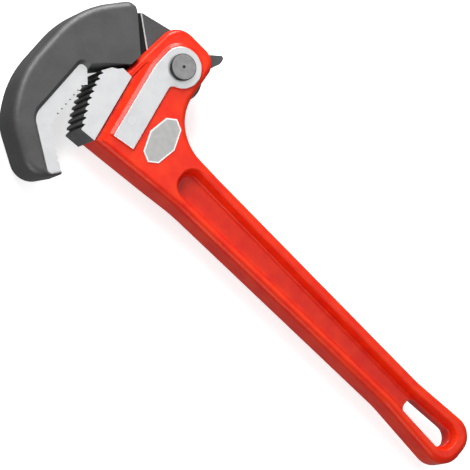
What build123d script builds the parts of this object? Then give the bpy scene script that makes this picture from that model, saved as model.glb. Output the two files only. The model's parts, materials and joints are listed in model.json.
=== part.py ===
from build123d import *
import math
import os

# A self-adjusting pipe wrench for one hand: a red handle casting with a forked head, a
# forged hook jaw that turns on a pivot pin in the fork, and a heel jaw pinned into the
# front of the head. A torsion spring round the pivot keeps the hook jaw closed.
#
# Every piece is drawn about the pivot axis: X runs along the handle to its hanging end,
# Y towards the wrench's back and Z across its thickness. At the end the whole wrench is
# moved, so that the middle of its underside is the origin. All sizes are in millimetres.

# ---- handle casting: the grip -------------------------------------------------------
handle_reach = 281.0        # pivot axis to the hanging end
grip_thickness = 21.0
grip_axis = -45.7           # Y of the grip's long axis
root_x = 55.0               # where the grip begins
root_back = 14.7            # grip axis to the back face, and to the front face
root_front = 16.7
neck_inset = 56.0           # narrowest place, measured from the hanging end
neck_back = 12.8
neck_front = 12.5
end_half_depth = 16.6
end_corner = 13.0
flare_round = 60.0
neck_sweep = 28.0           # concave sweep from the head's back into the grip
edge_round = 3.8            # round of the long edges, less than the ledge over the heel jaw
foot_round = 1.0            # the casting's lower corner, at the foot of the seat
root_round = 80.0
flare_shift = 8.0           # the back face begins to flare this much nearer to the end

# ---- handle casting: the I-section groove and the hang hole -------------------------
groove_start = 42.0
rim_back = 6.5
rim_front = 5.6
rim_end = 7.4
web_thickness = 6.4
groove_draft = 12.0         # degrees
groove_corner = 8.6
groove_floor_round = 2.6
groove_rim_round = 1.1
hole_length = 35.0
hole_margin = 2.4           # groove rim to the hang hole's edge
hole_corner = 3.8

# ---- handle casting: the forked head ------------------------------------------------
head_width = 23.8           # across the painted cheeks
pad_height = 1.4            # machined pads stand this far above each cheek
pad_ring = 12.4             # radius of the pad round the pivot
pad_arm_near = 8.3          # pad arm's two edges behind the heel jaw's seat
pad_arm_far = 22.6
pad_arm_end = 36.0
pad_arm_rise = 14.0         # the arm's outline starts this far above the seat, inside the ring
pad_throat = Vector(-12.8, -11.0)
pad_throat_round = 30.0
pad_edge = 0.3
pad_corner = 4.0
boss_height = 1.1           # the painted boss that carries each pad
boss_spread = 1.6           # boss beyond the pad's outline, at its foot
boss_slope = 62.0           # degrees from the pivot's axis
boss_shift = Vector(-0.9, 0.5)
strip_width = 7.4           # the rounded strip of each cheek beside the heel jaw
strip_round = 16.0
strip_rise = 13.0           # the strip's upper end above the seat, and its place behind the seat
strip_end = 3.3
head_top = 20.2
head_back = 16.6            # to the middle of the back edge, which leans out on its way down
head_back_lean = 2.35
head_front = 20.4
head_front_lean = 2.4       # how far the front leans out from top to ledge
head_corner_front = 13.0
head_corner_back = 10.5
cheek_flat_end = 33.0       # the cheeks thin down to the grip from here
cheek_taper = 30.0          # over this length
cheek_round = 80.0

# ---- fork slot and hook jaw shank ---------------------------------------------------
shank_thickness = 14.0
shank_side_gap = 0.3
hub_radius = 16.0
lobe_start = Vector(15.2, 5.2)      # the lobe's curved edge, from the hub round the back
lobe_middle = Vector(18.0, -2.5)
lobe_end = Vector(16.2, -10.5)
slot_sweep = 20.2           # radius of the slot's floor round the pivot
slot_floor = 22.6           # depth of the slot's floor at its front edge
slot_bend = -23.0           # X where the slot's floor leaves the front edge's level
slot_top = -4.0             # above this the slot is open from front to back
shoulder_gap = 1.0          # hook jaw's shoulder to the cheeks' front edge
relief_lip = 0.5            # drop from the shank's ground face into the hollow along the step
relief_depth = 2.6          # the hollow's depth at the foot of the step
relief_top = Vector(-41.0, 10.2)    # the hollow's far edge, from above the shank to inside the fork
relief_foot = Vector(-15.6, -10.3)
relief_overrun = 4.0        # the hollow's cut goes on this far past both ends of the step
shank_low = Vector(-46.0, 1.0)      # corners of the shank's edge towards the wrench's back
shank_back = Vector(-38.1, 9.0)
shank_rise = Vector(-18.5, 14.2)
shank_underside = -21.0
shank_drop = 0.6            # the underside leaves the hub's circle this far above its lowest point
spur_tip = Vector(15.7, 27.1)       # thumb spur, before its tip is rounded
spur_front = Vector(6.5, 18.9)
spur_rear = Vector(17.1, 22.0)
spur_root = Vector(13.8, 13.8)
spur_round = 1.5

# ---- pivot pin, washer and retaining ring -------------------------------------------
pin_radius = 6.35
pin_clearance = 0.05
pin_head_radius = 7.95
pin_head_height = 2.6
pin_chamfer = 0.5
pin_tail = 1.6
centre_mark = 0.9
washer_radius = 10.6
washer_thickness = 1.2
washer_clearance = 0.2
ring_thickness = 1.0
ring_clearance = 0.1
ring_groove_radius = 5.2
ring_radius = 9.2
ring_inner = 7.0
ring_seat_gap = 0.03
ring_tab_width = 3.0

# ---- torsion spring -----------------------------------------------------------------
spring_wire = 1.0           # wire radius
spring_radius = 11.7        # mean radius of the coil
spring_pitch = 2.1
spring_turns = 2.2
spring_depth = 1.1          # wire centre below the hub's side face
leg_radius = 0.92           # the straight legs, a little slimmer where they are bent off the coil
leg_depth = 3.6
leg_clearance = 0.2
pocket_inner = 9.5
pocket_wall = 2.0
pocket_depth = 7.2

# ---- hook jaw forging ---------------------------------------------------------------
hook_width = 27.2
hook_left = 69.5            # pivot axis to the hook's outer side
hook_drop = 115.6           # pivot axis to the lowest corner, before its round
hook_lip = Vector(-11.8, -99.0)     # end of the forging's thin lip under the insert
hook_edge_round = 4.4
hook_shoulder_x = -48.4     # corners of the hook's outer side, from the step round to the toe
hook_shoulder_round = 6.5
hook_upper_y = -19.4
hook_lower_y = -73.0
hook_bend_round = 60.0
hook_heel = Vector(-55.5, -97.0)
hook_heel_round = 28.0
hook_toe_x = -24.0
hook_toe_round = 13.0
under_round = 2.5           # round of the arm's underside
underside_start = Vector(-41.4, -41.8)
underside_end = Vector(-25.0, -22.2)
step_top = Vector(-44.6, 7.7)
step_foot_y = -13.4

# ---- toothed insert of the hook jaw -------------------------------------------------
insert_width = 22.5
insert_back = 46.3          # pivot axis to the insert's back face
insert_upper = 10.1         # thickness of its upper and lower legs
insert_lower = 8.8
insert_bend_y = -85.1
lower_slope = -34.6         # degrees, direction of the lower leg
lip_end_x = -18.0
jaw_tip = Vector(-13.3, -98.0)
insert_round = 9.0          # the strip's outer bend
insert_corner = 2.6
insert_nose = Vector(-34.9, -48.8)
hook_pitch = 3.8
hook_tooth = 1.3
hook_lean = 0.35

# ---- heel jaw -----------------------------------------------------------------------
heel_width = 25.4
heel_tilt = 10.3            # degrees, seat's lean from the Y direction
seat_top = Vector(-18.8, -26.4)
seat_length = 44.0
heel_overhang = 1.2         # heel jaw reaches past the casting's lower corner
heel_top_depth = 7.0
heel_depth = 17.3
heel_bottom_depth = 9.8
heel_bulge = 15.9           # depth of the curved front half way down
heel_belly_drop = 2.0       # its deepest place lies this far below the seat's middle
heel_cap = 1.2              # the block rises this far above the seat's upper end
heel_notch_down = 1.1       # the two corners of the block's sloping top
heel_notch_out = 2.6
heel_brow_down = 2.3
heel_brow_in = 4.4
heel_pitch = 4.2
heel_tooth = 1.9
heel_lean = 0.06
heel_tooth_start = 7.5      # down the seat to the uppermost tooth
tongue_top = 8.0
tongue_length = 28.0
tongue_depth = 17.5
tongue_thickness = 12.0
tongue_clearance = 0.1
heel_pin_radius = 3.0
heel_pin_depth = 13.0       # pin axis behind the seat

# ---- label --------------------------------------------------------------------------
label_centre = Vector(19.6, -40.8)
label_half_length = 16.0
label_half_width = 9.2
label_thickness = 0.4
label_tilt = 6.0            # degrees

# ---- sizes that follow from the ones above ------------------------------------------
head_half = head_width / 2
grip_half = grip_thickness / 2
pad_face = head_half + pad_height
shank_half = shank_thickness / 2
slot_half = shank_half + shank_side_gap
hook_half = hook_width / 2
insert_half = insert_width / 2
hook_bevel = hook_half - insert_half
bore_radius = pin_radius + pin_clearance
neck_x = handle_reach - neck_inset
back_root_y = grip_axis + root_back
back_neck_y = grip_axis + neck_back
back_end_y = grip_axis + end_half_depth
front_root_y = grip_axis - root_front
front_neck_y = grip_axis - neck_front
front_end_y = grip_axis - end_half_depth


def seat_point(down, out):
    """A point by its distance down the heel jaw's seat and out in front of it."""
    tilt = math.radians(heel_tilt)
    x = seat_top.X + down * math.sin(tilt) - out * math.cos(tilt)
    y = seat_top.Y - down * math.cos(tilt) - out * math.sin(tilt)
    return Vector(x, y)


def polar(radius, degrees):
    """A point round the pivot."""
    return Vector(radius * math.cos(math.radians(degrees)), radius * math.sin(math.radians(degrees)))


def rounded(corners):
    """A closed face from (x, y, radius) corners, each rounded by its own radius."""
    points = [(x, y) for x, y, radius in corners]
    return make_face(FilletPolyline(*points, radius=[radius for x, y, radius in corners], close=True))


def slab(face, low, high):
    """A face drawn on Z = 0, raised into a solid between two heights."""
    return extrude(Pos(0, 0, low) * face, amount=high - low, dir=(0, 0, 1))


# The head's front edge leans outwards, and this line gives its X at any height.
front_top = Vector(-head_front + head_front_lean * head_top / (head_top - seat_top.Y), head_top)
front_foot = Vector(front_top.X - head_front_lean - 1.5, seat_top.Y + 0.1)


def front_edge_x(y):
    """X of the cheeks' front edge at a height above or below the pivot."""
    share = (front_top.Y - y) / (front_top.Y - front_foot.Y)
    return front_top.X + share * (front_foot.X - front_top.X)


def handle_outline():
    """Corners of the casting seen from the side, each with its round."""
    foot = seat_point(seat_length, 0)
    return [
        (foot.X, foot.Y, foot_round),
        (root_x, front_root_y, root_round),
        (neck_x, front_neck_y, flare_round),
        (handle_reach, front_end_y, end_corner),
        (handle_reach, back_end_y, end_corner),
        (neck_x + flare_shift, back_neck_y, flare_round),
        (head_back + head_back_lean, back_root_y, neck_sweep),
        (head_back - head_back_lean, head_top, head_corner_back),
        (front_top.X, front_top.Y, head_corner_front),
        (front_foot.X, front_foot.Y, 0),
        (seat_top.X, seat_top.Y, 0),
    ]


def groove_corners():
    """The I-section groove's outline, inside the grip's rims."""
    end = handle_reach - rim_end
    upper = back_root_y - rim_back
    lower = front_root_y + rim_front
    start_round = min(groove_corner, 0.45 * (upper - lower))
    end_round = min(groove_corner, 0.45 * (back_end_y - front_end_y - 2 * rim_end))
    return [
        (groove_start, upper, start_round),
        (neck_x + flare_shift, back_neck_y - rim_back, flare_round),
        (end, back_end_y - rim_end, end_round),
        (end, front_end_y + rim_end, end_round),
        (neck_x, front_neck_y + rim_front, flare_round),
        (groove_start, lower, start_round),
    ]


def hole_corners():
    """The hang hole: the end of the groove's outline, set in, and closed across the grip."""
    end = handle_reach - rim_end - hole_margin
    start = end - hole_length
    share = (start - neck_x) / (end - neck_x)
    back_start = back_neck_y - rim_back
    back_end = back_end_y - rim_end
    front_start = front_neck_y + rim_front
    front_end = front_end_y + rim_end
    upper = back_start + share * (back_end - back_start) - hole_margin
    lower = front_start + share * (front_end - front_start) + hole_margin
    start_round = min(hole_corner, 0.45 * (upper - lower))
    end_round = min(groove_corner, 0.45 * (back_end - front_end)) - hole_margin
    return [
        (start, upper, start_round),
        (end, back_end - hole_margin, end_round),
        (end, front_end + hole_margin, end_round),
        (start, lower, start_round),
    ]


def pad_face_outline():
    """The machined pad: a ring round the pivot, and an arm down beside the heel jaw."""
    ring = Circle(pad_ring)
    arm_near = seat_point(pad_arm_end, -pad_arm_near)
    arm_far = seat_point(pad_arm_end, -pad_arm_far)
    arm_root = seat_point(-pad_arm_rise, -pad_arm_far)
    arm = rounded([
        (-pad_ring, 0, 0),
        (pad_throat.X, pad_throat.Y, pad_throat_round),
        (arm_near.X, arm_near.Y, 0),
        (arm_far.X, arm_far.Y, 0),
        (arm_root.X, arm_root.Y, 0),
        (0, 0, 0),
    ])
    outline = ring + arm
    inner_corner = outline.vertices().sort_by_distance(Vector(1, -pad_ring, 0))[0]
    return fillet(inner_corner, pad_corner)


def boss():
    """The painted boss under a pad. Its flank is wide towards the jaws and steep on the other side."""
    foot = Pos(boss_shift) * offset(pad_face_outline(), boss_spread)
    return extrude(Pos(0, 0, head_half) * foot, amount=boss_height, dir=(0, 0, 1), taper=boss_slope)


def strip_cutter():
    """What is cut from a cheek to leave a strip that falls in a wide round towards the heel jaw."""
    centre_z = head_half - strip_round

    def round_z(behind):
        return centre_z + math.sqrt(strip_round ** 2 - (strip_width - behind) ** 2)

    past = -1.0
    arc = ThreePointArc(
        (past, round_z(past)), (strip_width / 2, round_z(strip_width / 2)), (strip_width, head_half))
    walls = Polyline(
        (strip_width, head_half), (strip_width, head_half + 2), (past, head_half + 2), (past, round_z(past)))
    section = make_face(Curve() + [arc, walls])
    bar = extrude(Plane.XZ * section, amount=seat_length + 20, both=True)
    plan = make_face(Polyline(
        (past, 0), (past, -seat_length - 5), (strip_width + 1, -seat_length - 5),
        (strip_width + 1, strip_rise + 3), (strip_end, strip_rise), (0, 0), close=True))
    return Pos(seat_top) * Rot(0, 0, heel_tilt) * (bar & slab(plan, 0, head_half + 2))


def slot_outline():
    """The fork's slot, which gives the hub and the hook jaw's shank their room."""
    past = 64.0
    floor = make_face(Polyline(
        (-past, past), (-past, -slot_floor), (slot_bend, -slot_floor),
        (0, -slot_sweep), (0, past), close=True))
    above = Pos(0, (past + slot_top) / 2) * Rectangle(2 * past, past - slot_top)
    return Circle(slot_sweep) + floor + above


def make_handle():
    """The handle casting, with its fork, pads, groove and hang hole."""
    corners = handle_outline()
    outline = rounded(corners)
    blank = slab(outline, -head_half, head_half)
    width = rounded([
        (-hook_drop, head_half, 0),
        (cheek_flat_end, head_half, cheek_round),
        (cheek_flat_end + cheek_taper, grip_half, cheek_round),
        (2 * handle_reach, grip_half, 0),
        (2 * handle_reach, -grip_half, 0),
        (cheek_flat_end + cheek_taper, -grip_half, cheek_round),
        (cheek_flat_end, -head_half, cheek_round),
        (-hook_drop, -head_half, 0),
    ])
    blank = blank & extrude(Plane.XZ * width, amount=2 * hook_drop, both=True)

    # The long edges are rounded all round, except along the heel jaw's seat.
    top_edges = [e for e in blank.edges() if abs((e @ 0.5).Z) > grip_half - 0.01]
    seat_line = Line(seat_top, seat_point(seat_length, 0))
    ledge_line = Line(seat_top, front_foot)
    soft = []
    for edge in top_edges:
        middle = Vector((edge @ 0.5).X, (edge @ 0.5).Y)
        if seat_line.distance_to(middle) > 0.6 and ledge_line.distance_to(middle) > 0.6:
            soft.append(edge)
    blank = fillet(soft, edge_round)

    # The rounded strips beside the heel jaw, then the bosses with their machined pads.
    strip = strip_cutter()
    blank = blank - strip - mirror(strip, Plane.XY)
    pad = slab(pad_face_outline(), 0, pad_face)
    pad = chamfer(pad.faces().sort_by(Axis.Z)[-1].edges(), pad_edge) + boss()
    body = blank + pad + mirror(pad, Plane.XY)

    # The grip's two grooves, which leave the web between them.
    above_grip = head_half - grip_half
    spread = above_grip * math.tan(math.radians(groove_draft))
    groove = offset(rounded(groove_corners()), spread)
    depth = head_half - web_thickness / 2
    cutter = extrude(Pos(0, 0, head_half) * groove, amount=depth, dir=(0, 0, -1), taper=groove_draft)
    cutter = fillet(cutter.faces().sort_by(Axis.Z)[0].edges(), groove_floor_round)
    body = body - cutter - mirror(cutter, Plane.XY)
    groove_line = groove.faces()[0].outer_wire()
    rim = []
    for edge in body.edges():
        middle = edge @ 0.5
        beside = groove_line.distance_to(Vector(middle.X, middle.Y))
        if abs(middle.Z) > grip_half - 0.01 and beside < spread + 0.05:
            rim.append(edge)
    body = fillet(rim, groove_rim_round)
    body = body - slab(rounded(hole_corners()), -web_thickness, web_thickness)

    # The fork's slot, the pivot bore and the blind hole for the spring's fixed leg.
    body = body - slab(slot_outline(), -slot_half, slot_half)
    body = body - Cylinder(bore_radius, 4 * head_width)
    leg = Pos(spring_radius, 0, -slot_half - leg_depth / 2 - leg_clearance)
    body = body - leg * Cylinder(spring_wire + leg_clearance, leg_depth + 2 * leg_clearance)

    # The pocket for the heel jaw's tongue, and the hole for its pin.
    body = body - tongue_block(tongue_clearance)
    pin_at = seat_point(tongue_top + tongue_length / 2, -heel_pin_depth)
    return body - Pos(pin_at) * Cylinder(heel_pin_radius + pin_clearance, 4 * head_width)


def tongue_block(clearance):
    """The heel jaw's tongue, or with a clearance the pocket that takes it."""
    middle = seat_point(tongue_top + tongue_length / 2, -tongue_depth / 2)
    block = Box(
        tongue_depth + 2 * clearance,
        tongue_length + 2 * clearance,
        tongue_thickness + 2 * clearance,
    )
    return Pos(middle) * Rot(0, 0, heel_tilt) * block


def notch(mouth, along, inward, pitch, depth, lean):
    """One saw-tooth gap between two teeth, as a triangle that opens outwards."""
    lip = inward * -0.6
    a = mouth + lip
    b = mouth + along * (lean * pitch) + inward * depth
    c = mouth + along * (0.9 * pitch) + lip
    return make_face(Polyline((a.X, a.Y), (b.X, b.Y), (c.X, c.Y), close=True))


def make_heel_jaw():
    """The heel jaw: a block with a curved row of teeth, and a tongue that goes into the casting."""
    foot = seat_point(seat_length + heel_overhang, 0)
    crown = seat_point(heel_tooth_start, heel_depth)
    belly = seat_point(seat_length / 2 + heel_belly_drop, heel_bulge)
    chin = seat_point(seat_length + heel_overhang / 4, heel_bottom_depth)
    front = ThreePointArc(crown, belly, chin)
    shoulders = Polyline(
        chin, foot, seat_top,
        seat_point(-heel_cap, heel_top_depth),
        seat_point(heel_notch_down, heel_top_depth + heel_notch_out),
        seat_point(heel_brow_down, heel_depth - heel_brow_in), crown)
    face = make_face(Curve() + [front, shoulders])
    count = int(front.length // heel_pitch)
    for number in range(count):
        share = (number + 0.1) * heel_pitch / front.length
        along = (front % share).normalized()
        inward = Vector(-along.Y, along.X)
        face = face - notch(front @ share, along, inward, heel_pitch, heel_tooth, heel_lean)
    block = slab(face, -heel_width / 2, heel_width / 2)
    pin_at = seat_point(tongue_top + tongue_length / 2, -heel_pin_depth)
    tongue = tongue_block(0)
    return block + tongue - Pos(pin_at) * Cylinder(heel_pin_radius + pin_clearance, 4 * head_width)


def insert_bends():
    """The corners where the insert's two legs meet, outside and inside, and its lower end."""
    slope = math.radians(lower_slope)
    along = Vector(math.cos(slope), math.sin(slope))
    outward = Vector(-along.Y, along.X)
    outer = Vector(-insert_back, insert_bend_y)
    lip_end = outer + along * ((lip_end_x - outer.X) / along.X)
    face_start = outer + outward * insert_lower
    inner = face_start + along * ((insert_upper - insert_back - face_start.X) / along.X)
    return outer, inner, lip_end


def insert_outline():
    """The insert's outline along the crests of its teeth."""
    outer, inner, lip_end = insert_bends()
    return rounded([
        (-insert_back, underside_start.Y, insert_corner),
        (underside_start.X, underside_start.Y, 2.0),
        (insert_nose.X, insert_nose.Y, 0),
        (inner.X, insert_nose.Y - 1.5, 0),
        (inner.X, inner.Y, 3.0),
        (jaw_tip.X, jaw_tip.Y, 0),
        (lip_end.X, lip_end.Y, insert_corner),
        (outer.X, outer.Y, insert_round),
    ])


def make_insert():
    """The toothed strip on the inside of the hook jaw."""
    outer, inner, lip_end = insert_bends()
    face = insert_outline()
    first = Vector(inner.X, insert_nose.Y - 1.5)
    down = Vector(0, -1)
    for number in range(int((first.Y - inner.Y - 1) // hook_pitch)):
        mouth = first + down * (number * hook_pitch)
        face = face - notch(mouth, down, Vector(-1, 0), hook_pitch, hook_tooth, hook_lean)
    leg = jaw_tip - inner
    along = leg.normalized()
    into = Vector(along.Y, -along.X)
    for number in range(int((leg.length - 2) // hook_pitch)):
        mouth = inner + along * (1.5 + number * hook_pitch)
        face = face - notch(mouth, along, into, hook_pitch, hook_tooth, hook_lean)
    return slab(face, -insert_half, insert_half)


def make_hook_jaw():
    """The hook jaw forging: a thick hook, and a thinner shank with its hub, lobe and spur."""
    outer, inner, lip_end = insert_bends()
    core = [
        (hook_lip.X, hook_lip.Y, 0),
        (inner.X - 3, inner.Y - 3, 0),
        (inner.X - 3, underside_start.Y - 5, 0),
        (underside_start.X + 0.5, underside_start.Y + 0.58, 0),
        (underside_end.X, underside_end.Y, 0),
    ]
    shoulder = [
        (front_edge_x(underside_end.Y) - shoulder_gap, underside_end.Y + 1, 0),
        (front_edge_x(step_foot_y) - shoulder_gap, step_foot_y, 0),
        (step_top.X, step_top.Y, 0),
    ]
    back = [
        (hook_shoulder_x, step_top.Y, hook_shoulder_round),
        (-hook_left, hook_upper_y, hook_bend_round),
        (-hook_left, hook_lower_y, hook_bend_round),
        (hook_heel.X, hook_heel.Y, hook_heel_round),
        (hook_toe_x, -hook_drop, hook_toe_round),
    ]
    thick = slab(rounded(core + shoulder + back), -hook_half, hook_half)
    rough_line = Polyline(*[(x, y) for x, y, radius in [core[0]] + core[1:4]])
    under_line = Line(underside_start, underside_end)
    shoulder_line = Polyline(*[(x, y) for x, y, radius in [core[-1]] + shoulder])
    round_edges = []
    under_edges = []
    for edge in thick.edges():
        middle = edge @ 0.5
        flat = Vector(middle.X, middle.Y)
        if abs(middle.Z) < hook_half - 0.01:
            continue
        if under_line.distance_to(flat) < 0.6:
            under_edges.append(edge)
        elif rough_line.distance_to(flat) > 0.1 and shoulder_line.distance_to(flat) > 0.1:
            round_edges.append(edge)
    thick = fillet(round_edges, hook_edge_round)
    middle_under = (underside_start + underside_end) / 2
    under_edges = [e for e in thick.edges() if (Vector((e @ 0.5).X, (e @ 0.5).Y) - middle_under).length < 2]
    thick = fillet([e for e in under_edges if abs((e @ 0.5).Z) > hook_half - 0.01], under_round)

    # The insert's seat runs right across, with a bevel down to the insert's side faces.
    seat = insert_outline()
    flare = extrude(Pos(0, 0, insert_half) * seat, amount=hook_bevel + 0.5, dir=(0, 0, 1), taper=-45)
    thick = thick - slab(seat, -insert_half, insert_half) - flare - mirror(flare, Plane.XY)

    shank = slab(shank_outline(), -shank_half, shank_half)
    hollow = step_hollow()
    body = thick + (shank - hollow - mirror(hollow, Plane.XY))

    # The pivot bore, the spring's ring pocket and the blind hole for its moving leg.
    body = body - Cylinder(bore_radius, 4 * hook_width)
    pocket = Circle(hub_radius - pocket_wall) - Circle(pocket_inner)
    body = body - slab(pocket, -shank_half - 1, -shank_half + pocket_depth)
    leg = polar(spring_radius, 360 * spring_turns)
    bottom = -shank_half + pocket_depth
    hole = Pos(leg.X, leg.Y, bottom + leg_depth / 2)
    return body - hole * Cylinder(spring_wire + leg_clearance, leg_depth + 0.4)


def step_hollow():
    """The hollow beside the step, cut from one side of the shank. Its floor falls towards the step."""
    top = shank_half + 1
    lip = shank_half - relief_lip
    floor = shank_half - relief_depth
    inside = Vector(front_edge_x(step_foot_y) - 2 * shoulder_gap, step_foot_y - relief_overrun)
    outside = Vector(step_top.X - relief_overrun, step_top.Y + relief_overrun)
    ends = []
    for near, far in ((outside, relief_top), (inside, relief_foot)):
        ends.append(make_face(Polyline(
            (near.X, near.Y, floor), (far.X, far.Y, lip),
            (far.X, far.Y, top), (near.X, near.Y, top), close=True)))
    return loft(ends, ruled=True)


def shank_outline():
    """The thinner shank that enters the fork, with the hub, the back lobe and the spur."""
    arm = make_face(Polyline(
        shank_low, shank_back, shank_rise, (0, hub_radius), (0, shank_drop - hub_radius),
        (front_edge_x(shank_underside) - 2 * shoulder_gap, shank_underside),
        (2 * shank_rise.X, shank_underside), close=True))
    edge = ThreePointArc(lobe_start, lobe_middle, lobe_end)
    lobe = make_face(Curve() + [edge, Polyline(lobe_end, (2, -12), (2, 5), lobe_start)])
    spur = rounded([
        (3, 12, 0),
        (spur_front.X, spur_front.Y, 0),
        (spur_tip.X, spur_tip.Y, spur_round),
        (spur_rear.X, spur_rear.Y, 4 * spur_round),
        (spur_root.X, spur_root.Y, 0),
        (11, 7, 0),
    ])
    return Circle(hub_radius) + arm + lobe + spur


def make_pivot_pin():
    """The pivot pin: a head on one side and a groove for the retaining ring on the other."""
    tail_end = -pad_face - washer_thickness - ring_thickness - ring_clearance - pin_tail
    shank = slab(Circle(pin_radius), tail_end, pad_face)
    shank = chamfer(shank.faces().sort_by(Axis.Z)[0].edges(), pin_chamfer)
    head = slab(Circle(pin_head_radius), pad_face, pad_face + pin_head_height)
    head = chamfer(head.faces().sort_by(Axis.Z)[-1].edges(), pin_chamfer)
    groove_top = -pad_face - washer_thickness
    groove_face = Circle(pin_radius + 1) - Circle(ring_groove_radius)
    groove = slab(groove_face, groove_top - ring_thickness - ring_clearance, groove_top)
    top = pad_face + pin_head_height
    mark = Pos(0, 0, top - centre_mark / 2) * Cone(0.01, centre_mark, centre_mark)
    return shank + head - groove - mark


def make_washer():
    """The flat washer between the far pad and the retaining ring."""
    face = Circle(washer_radius) - Circle(pin_radius + washer_clearance)
    return slab(face, -pad_face - washer_thickness, -pad_face)


def make_retaining_ring():
    """The E-shaped retaining ring, whose three tabs sit in the pin's groove."""
    face = Circle(ring_radius) - Circle(ring_inner)
    tab_length = ring_inner - ring_groove_radius + 0.5
    for angle in (90, 180, 270):
        tab_middle = ring_groove_radius + ring_seat_gap + tab_length / 2
        tab = Pos(tab_middle, 0) * Rectangle(tab_length, ring_tab_width)
        face = face + Rot(0, 0, angle) * (tab - Circle(ring_groove_radius + ring_seat_gap))
    opening = Pos(ring_radius, 0) * Rectangle(2 * ring_radius, 2 * ring_groove_radius)
    top = -pad_face - washer_thickness
    return slab(face - opening, top - ring_thickness, top)


def make_spring():
    """The torsion spring: a close coil in the hub's pocket, with a leg along the axis at each end."""
    start = -shank_half + spring_depth
    coil_height = spring_pitch * spring_turns
    path = Helix(spring_pitch, coil_height, spring_radius, center=(0, 0, start))
    section = Plane(origin=path @ 0, z_dir=path % 0) * Circle(spring_wire)
    coil = sweep(section, path=path, is_frenet=True)
    fixed_foot = -slot_half - leg_depth
    end = path @ 1
    moving_foot = -shank_half + pocket_depth + leg_depth - 0.4
    turn = spring_wire / 2
    fixed = slab(Pos(spring_radius, 0) * Circle(leg_radius), fixed_foot, start + turn)
    moving = slab(Pos(end.X, end.Y) * Circle(leg_radius), end.Z - turn, moving_foot)
    return coil + fixed + moving


def make_heel_pin():
    """The cross pin through the heel jaw's tongue, ground flush with the pads."""
    at = seat_point(tongue_top + tongue_length / 2, -heel_pin_depth)
    return Pos(at) * Cylinder(heel_pin_radius, 2 * pad_face)


def make_label():
    """The plain label on the near cheek, a long octagon."""
    half = [
        (0, label_half_length),
        (label_half_width * 0.62, label_half_length * 0.78),
        (label_half_width, 0),
        (label_half_width * 0.62, -label_half_length * 0.78),
    ]
    outline = half + [(-x, -y) for x, y in half]
    face = Pos(label_centre) * Rot(0, 0, label_tilt) * make_face(Polyline(*outline, close=True))
    return slab(face, head_half, head_half + label_thickness)


def main():
    pieces = {
        "handle": make_handle(),
        "hook_jaw": make_hook_jaw(),
        "hook_jaw_insert": make_insert(),
        "heel_jaw": make_heel_jaw(),
        "heel_jaw_pin": make_heel_pin(),
        "pivot_pin": make_pivot_pin(),
        "pivot_washer": make_washer(),
        "pivot_retaining_ring": make_retaining_ring(),
        "jaw_return_spring": make_spring(),
        "label": make_label(),
    }
    box = Compound(children=[Compound(piece.solids()) for piece in pieces.values()]).bounding_box()
    datum = Vector(-(box.min.X + box.max.X) / 2, -(box.min.Y + box.max.Y) / 2, -box.min.Z)
    print("pivot axis at", datum, "size", box.size)
    os.makedirs("parts", exist_ok=True)
    for name, piece in pieces.items():
        print(name, len(piece.solids()), round(piece.volume, 1))
        export_step(Pos(datum) * piece, f"parts/{name}.step")


main()
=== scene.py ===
# %% [markdown]
# # A self-adjusting pipe wrench
#
# The wrench's shape, sizes and motion come from its CAD model, which is loaded first and never moved.
# What is left for Blender is how it looks: red enamel on a casting, a dark forging, ground steel jaws,
# a turned pin and a small blank label plate, under four soft lights on a white table.

# %% Load the model
import json
import math

import bmesh
import bpy
from mathutils import Matrix, Vector


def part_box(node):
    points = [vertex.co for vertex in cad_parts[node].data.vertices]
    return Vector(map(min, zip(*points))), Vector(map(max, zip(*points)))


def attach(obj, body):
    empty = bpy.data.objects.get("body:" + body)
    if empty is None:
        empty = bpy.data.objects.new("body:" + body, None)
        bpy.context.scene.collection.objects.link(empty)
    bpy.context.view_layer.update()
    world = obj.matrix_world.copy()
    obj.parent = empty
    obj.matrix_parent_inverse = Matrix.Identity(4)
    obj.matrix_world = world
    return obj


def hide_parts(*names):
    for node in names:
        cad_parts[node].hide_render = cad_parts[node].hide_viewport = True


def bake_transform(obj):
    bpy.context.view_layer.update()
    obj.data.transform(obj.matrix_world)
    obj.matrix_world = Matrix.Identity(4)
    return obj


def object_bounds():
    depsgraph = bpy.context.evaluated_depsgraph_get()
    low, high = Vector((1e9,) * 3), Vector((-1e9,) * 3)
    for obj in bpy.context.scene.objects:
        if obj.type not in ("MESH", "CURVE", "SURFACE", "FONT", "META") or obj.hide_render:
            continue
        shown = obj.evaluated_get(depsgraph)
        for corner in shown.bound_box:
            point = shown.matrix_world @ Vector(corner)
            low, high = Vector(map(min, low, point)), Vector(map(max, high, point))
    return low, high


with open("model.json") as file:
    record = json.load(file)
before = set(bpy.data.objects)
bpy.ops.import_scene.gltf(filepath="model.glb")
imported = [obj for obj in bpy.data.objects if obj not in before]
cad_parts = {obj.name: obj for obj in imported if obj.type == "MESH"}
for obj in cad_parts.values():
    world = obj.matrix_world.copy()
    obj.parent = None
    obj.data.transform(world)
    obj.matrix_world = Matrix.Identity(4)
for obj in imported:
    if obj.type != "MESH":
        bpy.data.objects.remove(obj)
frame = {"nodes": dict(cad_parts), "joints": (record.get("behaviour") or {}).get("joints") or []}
nodes = frame["nodes"]
cad_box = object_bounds()
MM = 0.001
pivot = Vector(frame["joints"][0]["pos_m"])
print("pivot axis", pivot[:], "pieces", sorted(nodes))

# %% [markdown]
# ## The camera
#
# A product picture of a hand tool is taken from far away with a long lens, so that the near end isn't
# swollen. The camera is placed by three angles, as a photographer thinks of it: how far round the table
# it stands, how high it looks down from, and how far it is rolled, which lays the wrench across the frame.

# %% Camera
VIEW_AZIMUTH = math.radians(-29.9)
VIEW_ELEVATION = math.radians(65)
VIEW_ROLL = math.radians(72.5)
VIEW_DISTANCE = 2.2
LENS = 284.6
looks_at = pivot + Vector((96.4, -37.3, -20.6)) * MM

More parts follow.
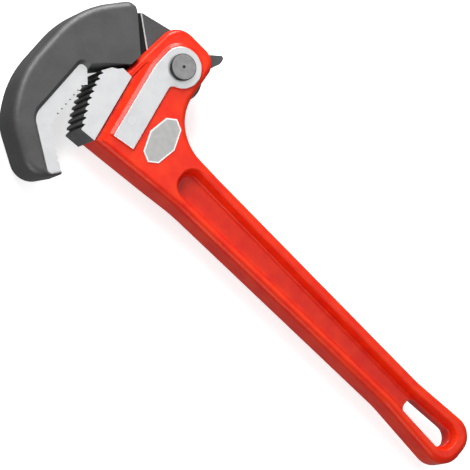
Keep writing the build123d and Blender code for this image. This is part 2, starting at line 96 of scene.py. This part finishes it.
level = Vector((math.cos(VIEW_AZIMUTH), math.sin(VIEW_AZIMUTH), 0))
towards_camera = Vector((
    math.sin(VIEW_AZIMUTH) * math.cos(VIEW_ELEVATION),
    -math.cos(VIEW_AZIMUTH) * math.cos(VIEW_ELEVATION),
    math.sin(VIEW_ELEVATION),
))
picture_right = Matrix.Rotation(VIEW_ROLL, 3, towards_camera) @ level
picture_up = towards_camera.cross(picture_right)

camera_data = bpy.data.cameras.new("camera")
camera_data.lens = LENS
camera = bpy.data.objects.new("camera", camera_data)
bpy.context.scene.collection.objects.link(camera)
axes = Matrix((picture_right, picture_up, towards_camera)).transposed()
camera.matrix_world = Matrix.Translation(looks_at + towards_camera * VIEW_DISTANCE) @ axes.to_4x4()
bpy.context.scene.camera = camera
print("camera at", camera.matrix_world.translation[:])

# %% [markdown]
# ## The studio
#
# The table is one pale sheet, and four soft lights do the work, all equally far away. The key light and
# the edge light stand above the top of the picture, and light every edge that faces up the frame. The
# mirror light hangs where flat steel faces mirror it into the camera, because bare metal looks like
# whatever it reflects. The front light is the widest, and lifts the tool's lower side a little, which
# stays darker and shows how thick the tool is. The table itself neither lights the tool nor shows in it.

# %% Studio
LIGHT_DISTANCE = 1.3
WORLD_COLOUR = (0.98, 0.98, 1.0, 1)
WORLD_STRENGTH = 0.23
TABLE_SIZE = 8
TABLE_GAP = 0.1 * MM


def softbox(name, direction, size, power):
    """A square area light, aimed at the middle of the picture."""
    data = bpy.data.lights.new(name, "AREA")
    data.shape = "SQUARE"
    data.size = size
    data.energy = power
    lamp = bpy.data.objects.new(name, data)
    bpy.context.scene.collection.objects.link(lamp)
    place = direction.normalized()
    lamp.location = looks_at + place * LIGHT_DISTANCE
    lamp.rotation_euler = place.to_track_quat("Z", "Y").to_euler()


mirror_direction = Vector((-towards_camera.x, -towards_camera.y, towards_camera.z))
key_direction = picture_up * 0.75 + towards_camera * 0.66 - picture_right * 0.15
edge_direction = picture_up * 0.95 + towards_camera * 0.15 + picture_right * 0.15
front_direction = Vector((0, -0.9, 0.45))
softbox("key_light", key_direction, size=0.55, power=10.5)
softbox("edge_light", edge_direction, size=0.6, power=18.0)
softbox("mirror_light", mirror_direction, size=0.75, power=2.0)
softbox("front_light", front_direction, size=0.9, power=7.0)

world = bpy.data.worlds.new("studio")
world.use_nodes = True
world.node_tree.nodes["Background"].inputs["Color"].default_value = WORLD_COLOUR
world.node_tree.nodes["Background"].inputs["Strength"].default_value = WORLD_STRENGTH
bpy.context.scene.world = world
bpy.context.scene.view_settings.view_transform = "Standard"

bpy.ops.object.select_all(action="DESELECT")
bpy.ops.mesh.primitive_plane_add(size=TABLE_SIZE, location=(0, 0, cad_box[0].z - TABLE_GAP))
table = bpy.context.object
table.name = "table"
bpy.ops.object.transform_apply(location=True, rotation=True, scale=True)
table.visible_diffuse = False
table.visible_glossy = False

# %% [markdown]
# ## Building materials from nodes
#
# Every finish here is worked out from the place of a point on the object, in metres, so it stays put when
# the view changes. A few short helpers keep the wiring readable. The effects that several finishes share
# are node groups: a grain with a size and a stretch, a mask of the flat sides, and a blotchy mix of two
# tones.

# %% Node helpers
def add(tree, kind, **settings):
    """A new node with its settings, and its input values by name or number."""
    node = tree.nodes.new(kind)
    values = settings.pop("values", {})
    for key, value in settings.items():
        setattr(node, key, value)
    for key, value in values.items():
        node.inputs[key].default_value = value
    return node


def join(tree, start, end):
    tree.links.new(start, end)


def new_group(name, inputs, outputs):
    """An empty node group with named sockets, given as (name, type, starting value)."""
    tree = bpy.data.node_groups.new(name, "ShaderNodeTree")
    for label, kind, value in inputs:
        socket = tree.interface.new_socket(label, in_out="INPUT", socket_type="NodeSocket" + kind)
        if value is not None:
            socket.default_value = value
    for label, kind in outputs:
        tree.interface.new_socket(label, in_out="OUTPUT", socket_type="NodeSocket" + kind)
    return tree, tree.nodes.new("NodeGroupInput"), tree.nodes.new("NodeGroupOutput")


def new_finish(name):
    """A material with only its shader and its output, and the Object coordinates to build on."""
    material = bpy.data.materials.new(name)
    material.use_nodes = True
    tree = material.node_tree
    shader = tree.nodes["Principled BSDF"]
    place = tree.nodes.new("ShaderNodeTexCoord").outputs["Object"]
    return material, tree, shader, place


def wear(node, *finishes):
    """Gives a piece its finishes, in slot order."""
    node.data.materials.clear()
    for finish in finishes:
        node.data.materials.append(finish)


# %% Shared effects
def grain_group():
    """Noise with a grain size in millimetres, stretched along any axis."""
    tree, given, result = new_group(
        "grain",
        [("Place", "Vector", None), ("Size mm", "Float", 1.0), ("Stretch", "Vector", (1, 1, 1))],
        [("Height", "Float")])
    per_metre = add(tree, "ShaderNodeMath", operation="DIVIDE", values={0: 1 / MM})
    shrink = add(tree, "ShaderNodeVectorMath", operation="DIVIDE")
    noise = add(tree, "ShaderNodeTexNoise", values={"Detail": 3.0, "Roughness": 0.55})
    join(tree, given.outputs["Size mm"], per_metre.inputs[1])
    join(tree, given.outputs["Place"], shrink.inputs[0])
    join(tree, given.outputs["Stretch"], shrink.inputs[1])
    join(tree, shrink.outputs[0], noise.inputs["Vector"])
    join(tree, per_metre.outputs[0], noise.inputs["Scale"])
    join(tree, noise.outputs["Fac"], result.inputs["Height"])
    return tree


def flat_side_group():
    """1 where the surface faces straight along Z, the ground sides of the tool, and 0 elsewhere."""
    tree, given, result = new_group("flat_side", [("Sharpness", "Float", 0.02)], [("Mask", "Float")])
    facing = add(tree, "ShaderNodeTexCoord")
    split = add(tree, "ShaderNodeSeparateXYZ")
    size = add(tree, "ShaderNodeMath", operation="ABSOLUTE")
    low = add(tree, "ShaderNodeMath", operation="SUBTRACT", values={0: 1.0})
    mask = add(tree, "ShaderNodeMapRange", interpolation_type="SMOOTHSTEP",
               values={"To Min": 0.0, "To Max": 1.0})
    join(tree, facing.outputs["Normal"], split.inputs[0])
    join(tree, split.outputs["Z"], size.inputs[0])
    join(tree, given.outputs["Sharpness"], low.inputs[1])
    join(tree, size.outputs[0], mask.inputs["Value"])
    join(tree, low.outputs[0], mask.inputs["From Min"])
    join(tree, mask.outputs["Result"], result.inputs["Mask"])
    return tree


def two_tone_group():
    """Blends two colours in soft blotches."""
    tree, given, result = new_group(
        "two_tone",
        [("Place", "Vector", None), ("Size mm", "Float", 20.0),
         ("First", "Color", None), ("Second", "Color", None)],
        [("Color", "Color")])
    blotches = add(tree, "ShaderNodeGroup", node_tree=grain_effect)
    spread = add(tree, "ShaderNodeMapRange", values={"From Min": 0.35, "From Max": 0.65})
    mix = add(tree, "ShaderNodeMix", data_type="RGBA")
    join(tree, given.outputs["Place"], blotches.inputs["Place"])
    join(tree, given.outputs["Size mm"], blotches.inputs["Size mm"])
    join(tree, blotches.outputs["Height"], spread.inputs["Value"])
    join(tree, spread.outputs["Result"], mix.inputs["Factor"])
    join(tree, given.outputs["First"], mix.inputs["A"])
    join(tree, given.outputs["Second"], mix.inputs["B"])
    join(tree, mix.outputs["Result"], result.inputs["Color"])
    return tree


grain_effect = grain_group()
flat_side_effect = flat_side_group()
two_tone_effect = two_tone_group()
print("shared effects", [tree.name for tree in (grain_effect, flat_side_effect, two_tone_effect)])


def grain(tree, place, size_mm, stretch=(1, 1, 1)):
    node = add(tree, "ShaderNodeGroup", node_tree=grain_effect,
               values={"Size mm": size_mm, "Stretch": stretch})
    join(tree, place, node.inputs["Place"])
    return node.outputs["Height"]


def two_tone(tree, place, size_mm, first, second):
    node = add(tree, "ShaderNodeGroup", node_tree=two_tone_effect,
               values={"Size mm": size_mm, "First": (*first, 1), "Second": (*second, 1)})
    join(tree, place, node.inputs["Place"])
    return node.outputs["Color"]


NOISE_LOW = 0.3
NOISE_HIGH = 0.7


def ranged(tree, value, low, high):
    """Stretches the usual span of a noise over a range, and cuts off what lies outside it."""
    node = add(tree, "ShaderNodeMapRange",
               values={"From Min": NOISE_LOW, "From Max": NOISE_HIGH, "To Min": low, "To Max": high})
    join(tree, value, node.inputs["Value"])
    return node.outputs["Result"]


def blend_by(tree, mask, first, second, kind="FLOAT"):
    """first where the mask is 0 and second where it is 1. Each is a value or another node's output."""
    node = add(tree, "ShaderNodeMix", data_type=kind)
    chosen = [s for s in node.inputs if s.name in ("A", "B") and s.enabled]
    for socket, given in zip(chosen, (first, second)):
        if isinstance(given, bpy.types.NodeSocket):
            join(tree, given, socket)
        else:
            socket.default_value = given
    factor = [s for s in node.inputs if s.name == "Factor" and s.enabled][0]
    join(tree, mask, factor)
    return [s for s in node.outputs if s.enabled][0]


def coarse_and_fine(tree, coarse, fine):
    """Adds a coarse relief and a fine one, with the coarse one three times as deep."""
    total = add(tree, "ShaderNodeMath", operation="MULTIPLY_ADD", values={1: 3.0})
    join(tree, coarse, total.inputs[0])
    join(tree, fine, total.inputs[2])
    return total.outputs[0]


def faint(tree, height):
    """A quarter of a relief, for the fine lines of grinding and brushing."""
    share = add(tree, "ShaderNodeMath", operation="MULTIPLY", values={1: 0.25})
    join(tree, height, share.inputs[0])
    return share.outputs[0]


def level_from_middle(tree, from_pivot):
    """How far a place lies above or below the tool's middle plane, given its place from the pivot."""
    height = add(tree, "ShaderNodeSeparateXYZ")
    level = add(tree, "ShaderNodeMath", operation="ABSOLUTE")
    join(tree, from_pivot, height.inputs[0])
    join(tree, height.outputs["Z"], level.inputs[0])
    return level.outputs[0]


def from_the_pivot(tree, place):
    """A place measured from the middle of the pivot."""
    middle = add(tree, "ShaderNodeVectorMath", operation="SUBTRACT", values={1: pivot[:]})
    join(tree, place, middle.inputs[0])
    return middle.outputs[0]


def bump(tree, shader, height, depth_mm):
    node = add(tree, "ShaderNodeBump", values={"Strength": 1.0, "Distance": depth_mm * MM})
    join(tree, height, node.inputs["Height"])
    join(tree, node.outputs["Normal"], shader.inputs["Normal"])


# %% [markdown]
# ## Red enamel with bare pads
#
# The handle is one casting, dipped in enamel and then machined on its cheeks, where the pads stand up.
# Paint pools softly over the sand-cast skin, so it gets a long, low waviness and a fine orange peel. The
# bare metal isn't a second object: it is simply where the surface stands higher than the paint's boss, so
# a mask made from the height above the middle plane swaps red for brushed steel in the same finish.

# %% Red enamel
PAD_LEVEL = 13.02 * MM
RED = (0.84, 0.034, 0.004)
DEEP_RED = (0.75, 0.017, 0.004)
BRUSHED_STEEL = (0.84, 0.85, 0.85)
DULL_STEEL = (0.78, 0.79, 0.80)
COAT_ON_RED = 0.35


def enamel_finish():
    finish, tree, shader, place = new_finish("red_enamel")
    stands_up = add(tree, "ShaderNodeMath", operation="GREATER_THAN", values={1: PAD_LEVEL})
    join(tree, level_from_middle(tree, from_the_pivot(tree, place)), stands_up.inputs[0])
    bare = stands_up.outputs[0]

    red = two_tone(tree, place, 11, RED, DEEP_RED)
    steel = two_tone(tree, place, 9, BRUSHED_STEEL, DULL_STEEL)
    join(tree, blend_by(tree, bare, red, steel, "RGBA"), shader.inputs["Base Color"])
    join(tree, blend_by(tree, bare, 0.0, 1.0), shader.inputs["Metallic"])

    brushed = grain(tree, place, 0.35, stretch=(1, 14, 1))
    peel = grain(tree, place, 1.6)
    rough = blend_by(tree, bare, ranged(tree, peel, 0.30, 0.40), ranged(tree, brushed, 0.38, 0.52))
    join(tree, rough, shader.inputs["Roughness"])
    join(tree, blend_by(tree, bare, COAT_ON_RED, 0.0), shader.inputs["Coat Weight"])
    shader.inputs["Coat Roughness"].default_value = 0.22
    shader.inputs["Specular IOR Level"].default_value = 0.08

    wave = grain(tree, place, 9)
    relief = blend_by(tree, bare, coarse_and_fine(tree, wave, peel), faint(tree, brushed))
    bump(tree, shader, relief, depth_mm=0.11)
    return finish


wear(nodes["handle"], enamel_finish())

# %% [markdown]
# ## Dark forging
#
# The hook jaw is forged and tumbled, then blackened with a satin oxide. It is metal, but its skin is
# dark and rough, with a fine pitted grain and cloudy patches. The same finish covers the shank and its
# spur. The shank has a shallow hollow beside the step, and its light and shade are painted: painted shade,
# nearly black, inside it, and a painted highlight, a bright line, along its far rim. Both come from masks
# that know where a place lies on the shank.

# %% The step and the hollow
STEP_ACROSS = Vector((0.702, 0.712, 0))
STEP_AT = -25.8 * MM
HOLLOW_ACROSS = Vector((0.628, 0.778, 0))
HOLLOW_AT = -17.8 * MM
HOLLOW_LENGTH = 12 * MM
SHANK_FACE = 7.0 * MM
RIM_WIDTH = 0.75 * MM
OXIDE = (0.105, 0.105, 0.106)
DEEP_OXIDE = (0.088, 0.088, 0.089)
HOLLOW_PAINTED_SHADE = (0.012, 0.012, 0.012, 1)
RIM_PAINTED_HIGHLIGHT = (0.62, 0.62, 0.61, 1)


def beyond(tree, place, across, at):
    """How far a place lies past a line, in metres."""
    along = add(tree, "ShaderNodeVectorMath", operation="DOT_PRODUCT", values={1: across[:]})
    past = add(tree, "ShaderNodeMath", operation="SUBTRACT", values={1: at})
    join(tree, place, along.inputs[0])
    join(tree, along.outputs["Value"], past.inputs[0])
    return past.outputs[0]


def between(tree, value, low, high):
    """1 where a value lies between two limits, else 0."""
    above = add(tree, "ShaderNodeMath", operation="GREATER_THAN", values={1: low})
    under = add(tree, "ShaderNodeMath", operation="LESS_THAN", values={1: high})
    join(tree, value, above.inputs[0])
    join(tree, value, under.inputs[0])
    return both(tree, above.outputs[0], under.outputs[0])


def both(tree, first, second):
    """1 where two masks are both 1."""
    product = add(tree, "ShaderNodeMath", operation="MULTIPLY")
    join(tree, first, product.inputs[0])
    join(tree, second, product.inputs[1])
    return product.outputs[0]


# %% Dark forging
def forging_finish():
    finish, tree, shader, place = new_finish("dark_forging")
    skin_colour = two_tone(tree, place, 14, OXIDE, DEEP_OXIDE)

    # Two lines across the shank: the step's foot, and the hollow's far edge.
    middle = from_the_pivot(tree, place)
    level = level_from_middle(tree, middle)
    past_step = beyond(tree, middle, STEP_ACROSS, STEP_AT)
    past_hollow = beyond(tree, middle, HOLLOW_ACROSS, HOLLOW_AT)
    below_face = between(tree, level, -1 * MM, SHANK_FACE - 0.2 * MM)
    in_hollow = between(tree, past_hollow, -HOLLOW_LENGTH, -0.1 * MM)
    after_step = between(tree, past_step, 0.0, HOLLOW_LENGTH)
    hollow = both(tree, both(tree, below_face, in_hollow), after_step)
    on_face = between(tree, level, SHANK_FACE - 0.4 * MM, SHANK_FACE + 0.1 * MM)
    rim = both(tree, on_face, between(tree, past_hollow, -0.2 * MM, RIM_WIDTH))

    # Painted shade colours the hollow nearly black, and a painted highlight colours a bright line along its
    # far rim.
    colour = blend_by(tree, hollow, skin_colour, HOLLOW_PAINTED_SHADE, "RGBA")
    colour = blend_by(tree, rim, colour, RIM_PAINTED_HIGHLIGHT, "RGBA")
    join(tree, colour, shader.inputs["Base Color"])
    shader.inputs["Metallic"].default_value = 0.55
    pits = grain(tree, place, 0.7)
    join(tree, ranged(tree, pits, 0.44, 0.60), shader.inputs["Roughness"])
    lumps = grain(tree, place, 6)
    bump(tree, shader, coarse_and_fine(tree, lumps, pits), depth_mm=0.07)
    return finish


wear(nodes["hook_jaw"], forging_finish())

# %% [markdown]
# ## Ground jaw steel
#
# Both toothed pieces are hardened steel whose sides are ground flat after heat treatment. Only the sides
# are bright. The teeth and the ends keep the darker skin of the hardening oven. The flat-side mask tells
# the two apart by the direction that a surface faces, so no tooth has to be painted by hand.

# %% Jaw steel
GROUND_BRIGHT = (0.85, 0.86, 0.86)
GROUND_DULL = (0.80, 0.81, 0.82)
OVEN_SKIN = (0.30, 0.30, 0.30)
OVEN_SKIN_DARK = (0.22, 0.22, 0.225)


def flat_side(tree, sharpness):
    node = add(tree, "ShaderNodeGroup", node_tree=flat_side_effect, values={"Sharpness": sharpness})
    return node.outputs["Mask"]


def jaw_steel_finish():
    finish, tree, shader, place = new_finish("jaw_steel")
    mask = flat_side(tree, 0.03)
    bright = two_tone(tree, place, 8, GROUND_BRIGHT, GROUND_DULL)
    dark = two_tone(tree, place, 5, OVEN_SKIN, OVEN_SKIN_DARK)
    join(tree, blend_by(tree, mask, dark, bright, "RGBA"), shader.inputs["Base Color"])
    shader.inputs["Metallic"].default_value = 1.0
    ground = grain(tree, place, 0.35, stretch=(14, 1, 1))
    skin = grain(tree, place, 0.8)
    rough = blend_by(tree, mask, ranged(tree, skin, 0.42, 0.58), ranged(tree, ground, 0.38, 0.50))
    join(tree, rough, shader.inputs["Roughness"])
    bump(tree, shader, blend_by(tree, mask, skin, faint(tree, ground)), depth_mm=0.03)
    return finish


jaw_steel = jaw_steel_finish()
wear(nodes["hook_jaw_insert"], jaw_steel)
wear(nodes["heel_jaw"], jaw_steel)

# %% [markdown]
# ## Turned steel
#
# The pivot pin and its washer come off a lathe, which leaves fine rings round the pivot axis. Distance
# from that axis, run through a sine, gives rings at any spacing, and a little noise keeps them from
# looking printed.

# %% Turned steel
DARKER = 0.82
RING_SHARE = 0.35


def turned_finish(name, tone, ring_mm, side_share=DARKER):
    """Rings of turning on the ends. side_share is how bright the sides are beside the ends."""
    finish, tree, shader, place = new_finish(name)
    flat = add(tree, "ShaderNodeVectorMath", operation="MULTIPLY", values={1: (1, 1, 0)})
    radius = add(tree, "ShaderNodeVectorMath", operation="LENGTH")
    turns = add(tree, "ShaderNodeMath", operation="MULTIPLY", values={1: math.tau / (ring_mm * MM)})
    wave = add(tree, "ShaderNodeMath", operation="SINE")
    join(tree, from_the_pivot(tree, place), flat.inputs[0])
    join(tree, flat.outputs[0], radius.inputs[0])
    join(tree, radius.outputs["Value"], turns.inputs[0])
    join(tree, turns.outputs[0], wave.inputs[0])
    pits = grain(tree, place, 0.6)
    rings = add(tree, "ShaderNodeMath", operation="MULTIPLY_ADD", values={1: RING_SHARE})
    join(tree, wave.outputs[0], rings.inputs[0])
    join(tree, pits, rings.inputs[2])
    darker = tuple(DARKER * part for part in tone)
    side = (*(side_share * part for part in tone), 1)
    ends = flat_side(tree, 0.1)
    colour = blend_by(tree, ends, side, two_tone(tree, place, 4, tone, darker), "RGBA")
    join(tree, colour, shader.inputs["Base Color"])
    shader.inputs["Metallic"].default_value = 1.0
    join(tree, ranged(tree, pits, 0.36, 0.50), shader.inputs["Roughness"])
    bump(tree, shader, rings.outputs[0], depth_mm=0.02)
    return finish


# The pin's sides get a tenth of its tone: painted shade on the side wall of the pin's head.
pin_steel = turned_finish("pin_steel", (0.38, 0.38, 0.38), 0.5, side_share=0.10)
wear(nodes["pivot_pin"], pin_steel)
wear(nodes["heel_jaw_pin"], jaw_steel)
wear(nodes["pivot_washer"], turned_finish("washer_steel", (0.60, 0.60, 0.59), 0.35))
spring_steel = turned_finish("spring_steel", (0.20, 0.20, 0.21), 0.4)
wear(nodes["pivot_retaining_ring"], spring_steel)
wear(nodes["jaw_return_spring"], spring_steel)

# %% [markdown]
# ## The return spring
#
# One leg of the return spring sits in the cheek and the other in the hook jaw's hub, so opening the jaw
# twists the coil between them. A rigid copy of the CAD spring would cut through the hub when the jaw opens.
# The shown spring is a mesh of its own, made from the CAD one with its triangles joined up, and the CAD
# spring is hidden.

# %% Spring between two bodies
SAME_CORNER = 0.001 * MM
ROUND_ANGLE = math.radians(35)


def winding_spring():
    """The shown spring, a copy of the CAD one with its finish, in the CAD spring's place."""
    mesh = nodes["jaw_return_spring"].data.copy()
    spring = bpy.data.objects.new("return_spring", mesh)
    bpy.context.scene.collection.objects.link(spring)
    bpy.ops.object.select_all(action="DESELECT")
    spring.select_set(True)
    bpy.context.view_layer.objects.active = spring
    bpy.ops.object.mode_set(mode="EDIT")
    bpy.ops.mesh.select_all(action="SELECT")
    bpy.ops.mesh.remove_doubles(threshold=SAME_CORNER)
    bpy.ops.object.mode_set(mode="OBJECT")
    bpy.ops.object.shade_smooth_by_angle(angle=ROUND_ANGLE)
    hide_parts("jaw_return_spring")
    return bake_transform(spring)


spring = winding_spring()
print("spring", len(spring.data.vertices), "corners")

# %% [markdown]
# ## The label
#
# The head carries a small blank foil plate, a long octagon. The CAD plate is the pale foil. Its one plain
# grey field is printed ink, so it is a very thin raised shape of its own: an octagon is drawn at the
# plate's size, inset by the border's width and lifted off the foil. Nothing is written on it.

# %% Foil and ink
ROUGHNESS_SPREAD = 0.05


def plain_finish(name, first, second, roughness):
    """A flat, slightly gritty surface that isn't metal."""
    finish, tree, shader, place = new_finish(name)
    join(tree, two_tone(tree, place, 3, first, second), shader.inputs["Base Color"])
    grit = grain(tree, place, 0.5)
    rough = ranged(tree, grit, roughness - ROUGHNESS_SPREAD, roughness + ROUGHNESS_SPREAD)
    join(tree, rough, shader.inputs["Roughness"])
    bump(tree, shader, grit, depth_mm=0.008)
    return finish


wear(nodes["label"], plain_finish("label_foil", (0.86, 0.86, 0.84), (0.80, 0.80, 0.79), 0.35))
field_ink = plain_finish("label_field_ink", (0.42, 0.42, 0.41), (0.37, 0.37, 0.36), 0.5)

# %% Label field
LABEL_HALF_LENGTH = 16.0 * MM
LABEL_HALF_WIDTH = 9.2 * MM
# How far out the four slanting corners lie, as shares of the half width and the half length. A regular
# octagon's lie at the cosine of 45 degrees, so the shares are divided by it.
LABEL_SHOULDER = (0.62 / math.cos(math.radians(45)), 0.78 / math.cos(math.radians(45)))
LABEL_TILT = math.radians(6)
BORDER = 0.85 * MM
INK = 0.06 * MM
label_low, label_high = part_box("label")
label_middle = (label_low + label_high) / 2
print("label", [round(1000 * side, 1) for side in (label_high - label_low)], "mm")


def choose(piece, kind, test):
    """In edit mode, selects exactly the corners ("verts") or "faces" whose middle passes a test."""
    mesh = bmesh.from_edit_mesh(piece.data)
    for part in mesh.verts[:] + mesh.edges[:] + mesh.faces[:]:
        part.select_set(False)
    for part in getattr(mesh, kind):
        middle = part.co if kind == "verts" else part.calc_center_median()
        if test(middle):
            part.select_set(True)
    bmesh.update_edit_mesh(piece.data)


def label_field():
    """The one plain field: an inset octagon, raised by the ink's thickness, turned and laid on the foil."""
    bpy.ops.object.select_all(action="DESELECT")
    bpy.ops.mesh.primitive_circle_add(vertices=8, radius=1, fill_type="NGON")
    piece = bpy.context.object
    bpy.ops.object.mode_set(mode="EDIT")
    bpy.ops.mesh.select_mode(type="VERT")
    choose(piece, "verts", lambda at: abs(at.x) > 0.1 and abs(at.y) > 0.1)
    bpy.ops.transform.resize(value=(*LABEL_SHOULDER, 1))
    bpy.ops.mesh.select_all(action="SELECT")
    bpy.ops.transform.resize(value=(LABEL_HALF_WIDTH, LABEL_HALF_LENGTH, 1))

    # The border is inset and taken away, which leaves the field.
    bpy.ops.mesh.select_mode(type="FACE")
    bpy.ops.mesh.select_all(action="SELECT")
    bpy.ops.mesh.inset(thickness=BORDER, depth=0)
    choose(piece, "faces", lambda at: at.length > MM)
    bpy.ops.mesh.delete(type="FACE")

    bpy.ops.mesh.select_all(action="SELECT")
    bpy.ops.mesh.extrude_region_move(TRANSFORM_OT_translate={"value": (0, 0, INK)})
    bpy.ops.mesh.select_all(action="SELECT")
    bpy.ops.mesh.normals_make_consistent(inside=False)
    bpy.ops.object.mode_set(mode="OBJECT")
    piece.rotation_euler.z = LABEL_TILT
    piece.location = (label_middle.x, label_middle.y, label_high.z)
    bpy.ops.object.transform_apply(location=True, rotation=True, scale=True)
    piece.name = "label_field"
    wear(piece, field_ink)
    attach(piece, "handle")
    return piece


field = label_field()
print(field.name, len(field.data.polygons), "faces")

# %% [markdown]
# ## The table's surface
#
# The table is matt and nearly white, with the faintest mottle and no pattern that competes with the tool.
# It also glows, so that it comes out white and the shadow under the tool stays faint.

# %% Table finish
GLOW = 0.6
table_sheet = plain_finish("table_sheet", (0.90, 0.90, 0.90), (0.885, 0.885, 0.885), 0.8)
glow = table_sheet.node_tree.nodes["Principled BSDF"].inputs
glow["Emission Color"].default_value = (1, 1, 1, 1)
glow["Emission Strength"].default_value = GLOW
wear(table, table_sheet)
